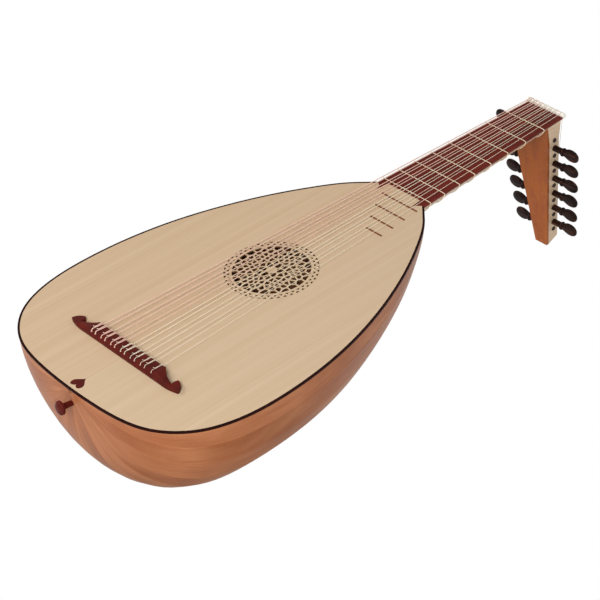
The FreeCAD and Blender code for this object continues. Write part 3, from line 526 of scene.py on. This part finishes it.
def bowl_point(t, angle):
    """A point on the bowl's outer skin: angle 0 is the treble edge, 180 the bass edge."""
    x, wide = WIDTH_CURVE.at(t)
    deep = DEPTH_CURVE.at(t)[1]
    depth = max(deep - TOP, 0.0) if t < 0.5 else deep * (1.0 - TOP / DEEPEST)
    turn = math.radians(angle)
    drop = depth * math.sin(turn)
    if t < ARC_SPAN:
        share = t / ARC_SPAN
        oval = share * share * (3.0 - 2.0 * share)
        drop = drop * oval + arc_depth(wide, depth, angle) * (1.0 - oval)
    return Vector((x, -wide * math.cos(turn), -TOP - drop))


def bowl_inward(t, angle):
    step = 1e-3
    along = bowl_point(min(t + step, 0.9999), angle) - bowl_point(max(t - step, 0.0), angle)
    around = bowl_point(t, min(angle + 0.5, 180.0)) - bowl_point(t, max(angle - 0.5, 0.0))
    return around.cross(along).normalized()


def rib_seams():
    inner = RIB_COUNT - 2
    width = (180.0 - 2.0 * EDGE_RIB_ANGLE) / inner
    return [0.0] + [EDGE_RIB_ANGLE + i * width for i in range(inner + 1)] + [180.0]


def rib_line(t, first, last, shares, depth):
    """Points across a rib at one station, depth inside the bowl's skin."""
    def skin(angle):
        point = bowl_point(t, angle) + bowl_inward(t, angle) * depth
        point.z = min(point.z, -TOP)
        return point

    edges = [skin(first), skin(last)]
    points = []
    for share in shares:
        chord = edges[0].lerp(edges[1], share)
        points.append(skin(first + (last - first) * share).lerp(chord, RIB_FLATNESS))
    return points


def make_rib(index, close):
    """One bent rib: a closed board with a fine groove along its seams. Its grain runs along it."""
    first, last = rib_seams()[index:index + 2]
    stations = [close * i / RIB_LENGTHS for i in range(RIB_LENGTHS + 1)]
    spread = [i / RIB_STRIPS for i in range(RIB_STRIPS + 1)]
    points, uv = [], []
    length, previous = 0.0, None
    for t in stations:
        middle = bowl_point(t, (first + last) / 2)
        length += (middle - previous).length if previous else 0.0
        previous = middle
        width = (bowl_point(t, last) - bowl_point(t, first)).length
        groove = min(SEAM_WIDTH / width, 0.12)
        shares = [0.0] + [groove + (1.0 - 2.0 * groove) * s for s in spread] + [1.0]
        outer = rib_line(t, first, last, shares, RIB_INSET)
        drop = SEAM_DEPTH * min(1.0, width / NARROW_RIB)
        for end, angle in ((0, first), (-1, last)):
            outer[end] = outer[end] + bowl_inward(t, angle) * drop
            outer[end].z = min(outer[end].z, -TOP)
        inner = rib_line(t, first, last, shares, RIB_THICKNESS)
        points += outer + inner[::-1]
        across = [width * (s - 0.5) * MM for s in shares]
        shift = (1.7 * index, 0.31 * index)
        uv += [(length * MM + shift[0], v + shift[1]) for v in across + across[::-1]]
    ring = len(points) // len(stations)
    faces = []
    for i in range(len(stations) - 1):
        for k in range(ring):
            a, b = i * ring + k, i * ring + (k + 1) % ring
            faces.append((a, b, b + ring, a + ring))
    faces.append(tuple(range(ring))[::-1])
    faces.append(tuple((len(stations) - 1) * ring + k for k in range(ring)))
    name = f"rib_{index + 1:02d}"
    rib = make_piece(name + "_bent", points, faces, MATERIALS["ribs"], "lute", uv=uv)
    mark_sharp(rib)
    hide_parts(name)
    return rib


def mark_sharp(piece, angle=35.0):
    """Keeps edges sharper than angle crisp in a smooth-shaded piece."""
    piece.data.set_sharp_from_angle(angle=math.radians(angle))


# ---------------------------------------------------------------- strings and frets
def string_lines():
    """(course, Y at the bridge, Y at the nut) of every string, treble first."""
    lines = [(0, CHANTERELLE_BRIDGE, CHANTERELLE_NUT)]
    for pair in range(COURSES - 1):
        at_bridge = SECOND_COURSE_BRIDGE + pair * COURSE_PITCH_BRIDGE
        at_nut = SECOND_COURSE_NUT + pair * COURSE_PITCH_NUT
        for side in (-1, 1):
            lines.append((pair + 1, at_bridge + side * PAIR_HALF_BRIDGE, at_nut + side * PAIR_HALF_NUT))
    return lines


# down the pegbox from the first peg, and square out of its open front
DOWN = Vector((math.sin(PEGBOX_LEAN), 0.0, -math.cos(PEGBOX_LEAN)))
OUT = Vector((math.cos(PEGBOX_LEAN), 0.0, math.sin(PEGBOX_LEAN)))


def pegbox_point(along, out, y=0.0):
    return Vector((PEG_ORIGIN[0], y, PEG_ORIGIN[1])) + DOWN * along + OUT * out


def pegbox_half(along):
    return PEGBOX_HALF_TOP - PEGBOX_TAPER * along


def peg_side(peg):
    return 1 if peg % 2 == 0 else -1


def shaft_radius(peg, y):
    """A peg's radius at a place across the pegbox."""
    half = pegbox_half(peg * PEG_PITCH)
    share = (half - peg_side(peg) * y) / (2.0 * half + PEG_STUB)
    return PEG_RADIUS + (PEG_END_RADIUS - PEG_RADIUS) * share


def landing(peg, at_nut):
    """Where across the pegbox a string reaches its peg."""
    limit = min(pegbox_half(peg * PEG_PITCH) - WALL - 1.5, 17.0)
    return max(-limit, min(limit, at_nut))


def bridge_tie(at_bridge, radius):
    """The string's way through its hole, over the bridge and round itself, from the free end on."""
    over = TIE_TOP_Z + radius
    crest = BRIDGE_HEIGHT + radius
    side = 2.1 * radius + 0.12
    y, beside = at_bridge, at_bridge + side
    return [
        (-8.9, beside + 1.7, over + 0.9), (-8.4, beside + 0.9, over + 0.4),
        (-7.3, beside + 0.25, over + 0.1), (-4.6, beside + 0.1, over + 0.05),
        (-0.6, beside + 0.1, over + 0.05), (1.2, beside - 0.05, over - 0.5),
        (1.9, beside - 0.35, TIE_HOLE_Z + 0.2), (1.7, y, TIE_HOLE_Z - 2.2 * radius),
        (1.9, y - side * 0.8, TIE_HOLE_Z + 0.3), (1.1, y - side * 0.75, over - 0.5),
        (-0.6, y - side * 0.6, over + 0.02), (-5.0, y - side * 0.2, over + 0.05),
        (-9.4, y, over + 0.4), (-11.4, y, crest), (-12.9, y, crest - 1.0),
        (-13.9, y, TIE_HOLE_Z + 0.3), (-13.4, y, TIE_HOLE_Z), (-12.0, y, TIE_HOLE_Z),
        (-6.0, y, TIE_HOLE_Z),
    ]


def make_string(index):
    """One string from its tie at the bridge, over the nut, to the first touch of its peg."""
    course, at_bridge, at_nut = string_lines()[index]
    radius = STRING_DIAMETERS[course] / 2
    peg = PEG_COUNT - 1 - index
    crown = NUT_TOP - NUT_SLOT_DEPTH + radius + 0.05
    path = smooth_path(bridge_tie(at_bridge, radius), 5)
    path += [Vector((0.4, at_bridge, TIE_HOLE_Z)), Vector((2.0, at_bridge, TIE_HOLE_Z))]
    nut_back = STRING_LENGTH + NUT_LENGTH
    y = landing(peg, at_nut)
    end = pegbox_point(peg * PEG_PITCH, shaft_radius(peg, y) + radius + PEG_GAP, y)
    bend = Vector((nut_back + radius + 0.3, at_nut, crown))
    fall = (end - bend).normalized()
    path += smooth_path([(STRING_LENGTH, at_nut, crown), (nut_back - 0.8, at_nut, crown),
                         bend - Vector((0.1, 0, 0.5)), bend + fall * 2.0], 4)
    path.append(end)
    return tube(path, radius, 8)


def make_winding(index):
    """The string's turns round its peg, from where it touches to the hole it is held by."""
    course, _, at_nut = string_lines()[index]
    radius = STRING_DIAMETERS[course] / 2
    peg = PEG_COUNT - 1 - index
    start = landing(peg, at_nut)
    turns = 4 + (index * 3) % 3
    toward = peg_side(peg) if abs(start) < 10 else -math.copysign(1.0, start)
    path = []
    for k in range(turns * COIL_STEPS + 1):
        turn = 2 * math.pi * k / COIL_STEPS
        y = start + toward * (2.0 * radius + COIL_GAP) * k / COIL_STEPS
        arm = shaft_radius(peg, y) + radius + PEG_GAP
        path.append(pegbox_point(peg * PEG_PITCH + arm * math.sin(turn), arm * math.cos(turn), y))
    centre = pegbox_point(peg * PEG_PITCH, 0.0, y)
    path.append(path[-1].lerp(centre, 0.35) + Vector((0, toward * radius, 0)))
    path.append(path[-1].lerp(centre, 0.5))
    points, faces, uv = tube(path, radius, 8)
    look = "string_bass" if course >= 4 else "string_plain"
    coil = make_piece(f"winding_{peg + 1:02d}", points, faces, MATERIALS[look], f"peg_{peg + 1:02d}", uv=uv)
    mark_sharp(coil, 60.0)


def make_course(course):
    members = [i for i, line in enumerate(string_lines()) if line[0] == course]
    points, faces, uv = joined(*[make_string(i) for i in members])
    look = "string_bass" if course >= 4 else "string_plain"
    name = f"strings_course_{course + 1}"
    piece = make_piece(name + "_tied", points, faces, MATERIALS[look], "lute", uv=uv)
    mark_sharp(piece, 60.0)
    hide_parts(name)


def neck_outline(x, grow):
    """The line round the neck at x, grow outside it: over the fingerboard and back under."""
    share = (x - NECK_JOINT) / (STRING_LENGTH - NECK_JOINT)
    half = NECK_ROOT_HALF + (NUT_HALF - NECK_ROOT_HALF) * share + grow
    deep = NECK_ROOT_DEPTH + (NUT_DEPTH - NECK_ROOT_DEPTH) * share + grow
    points = [Vector((x, y * half / 10.0, grow)) for y in range(-9, 10)]
    points.append(Vector((x, half - 0.12, grow - 0.3)))
    for k in range(1, NECK_STEPS):
        angle = 180.0 * k / NECK_STEPS
        drop = arc_depth(half, deep - TOP, angle)
        points.append(Vector((x, half * math.cos(math.radians(angle)), -TOP - drop)))
    points.append(Vector((x, -half + 0.12, grow - 0.3)))
    return points


def make_tied_fret(number):
    """A gut fret: a loop round the neck, tied with a wrapped knot on the bass edge."""
    x = STRING_LENGTH * 2.0 ** (-number / 12.0)
    radius = FRET_GUT / 2
    loop = neck_outline(x, FRET_SLACK + radius)
    parts = [tube(loop, radius, 10, closed=True)]
    half = loop[18].y
    knot = Vector((x, half + 0.1, -3.8))
    wrap = []
    for k in range(33):
        turn = 2 * math.pi * k / 12
        wrap.append(knot + Vector((1.05 * math.cos(turn), 0.95 * math.sin(turn) - 0.35, 1.5 - 3.0 * k / 32)))
    parts.append(tube(wrap, radius * 0.82, 8))
    for side in (-1, 1):
        tail = smooth_path([knot + Vector((side * 0.5, 0.1, 1.0)), knot + Vector((side * 0.9, 0.9, 2.2)),
                            knot + Vector((side * 1.9, 1.3, 3.1))], 5)
        widths = [radius * 0.8] * (len(tail) - 3) + [radius * 1.0, radius * 1.25, radius * 0.7]
        parts.append(tube(tail, widths, 8))
    points, faces, uv = joined(*parts)
    name = f"tied_fret_{number}"
    fret = make_piece(name + "_gut", points, faces, MATERIALS["fret_gut"], name, uv=uv)
    mark_sharp(fret, 60.0)
    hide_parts(name)


# ---------------------------------------------------------------- studio
CAMERA_PLACE = Vector((-823.22, -1271.5, 1177.09))     # in the instrument's frame, mm
CAMERA_AIM = Vector((167.12, -60.2, 0.0))
CAMERA_ROLL = -0.0270
CAMERA_LENS = 116.49
# name, place (m), diameter (m) and power (W) of the soft lamps
LAMPS = [("key", (-1.9, -1.2, 1.8), 1.3, 54.0), ("rim", (-1.2, 1.8, 1.8), 1.2, 22.0)]
# the room's brightness from straight below (0) over the horizon (0.5) to overhead (1)
ROOM = [(0.0, 0.3), (0.09, 0.3), (0.14, 1.0), (0.4, 1.0), (0.57, 0.4)]


def make_camera():
    data = bpy.data.cameras.new("camera")
    data.lens = CAMERA_LENS
    data.sensor_width = 36.0
    camera = bpy.data.objects.new("camera", data)
    place, aim = INSTRUMENT @ CAMERA_PLACE, INSTRUMENT @ CAMERA_AIM
    look = (aim - place).to_track_quat("-Z", "Y").to_matrix().to_4x4()
    camera.matrix_world = Matrix.Translation(place) @ look @ Matrix.Rotation(CAMERA_ROLL, 4, "Z")
    bpy.context.scene.collection.objects.link(camera)
    bpy.context.scene.camera = camera


def make_light(name, place, size, power):
    data = bpy.data.lights.new(name, "AREA")
    data.shape = "DISK"
    data.size = size
    data.energy = power
    light = bpy.data.objects.new(name, data)
    light.location = place
    light.rotation_euler = (Vector((0.0, 0.0, 0.1)) - Vector(place)).to_track_quat("-Z", "Y").to_euler()
    bpy.context.scene.collection.objects.link(light)


def make_stage():
    """A white room over a shaded table, dimmer overhead, and soft lamps over the lute."""
    world = bpy.data.worlds.new("studio")
    world.use_nodes = True
    nodes, links = world.node_tree.nodes, world.node_tree.links
    toward = nodes.new("ShaderNodeTexCoord")
    parts = nodes.new("ShaderNodeSeparateXYZ")
    height = nodes.new("ShaderNodeMapRange")
    height.inputs["From Min"].default_value = -1.0
    room = nodes.new("ShaderNodeValToRGB")
    while len(room.color_ramp.elements) < len(ROOM):
        room.color_ramp.elements.new(0.5)
    for element, (share, grey) in zip(room.color_ramp.elements, ROOM):
        element.position = share
        element.color = (grey, grey, grey, 1.0)
    links.new(toward.outputs["Generated"], parts.inputs["Vector"])
    links.new(parts.outputs["Z"], height.inputs["Value"])
    links.new(height.outputs["Result"], room.inputs["Fac"])
    links.new(room.outputs["Color"], nodes["Background"].inputs["Color"])
    bpy.context.scene.world = world
    for name, place, size, power in LAMPS:
        make_light(name, place, size, power)
    bpy.context.scene.view_settings.view_transform = "Standard"


# ---------------------------------------------------------------- assembly
dress_cad()
close = close_parameter()
for rib_index in range(RIB_COUNT):
    make_rib(rib_index, close)
for course_index in range(COURSES):
    make_course(course_index)
for string_index in range(PEG_COUNT):
    make_winding(string_index)
for fret_number in range(1, TIED_FRETS + 1):
    make_tied_fret(fret_number)
make_camera()
make_stage()
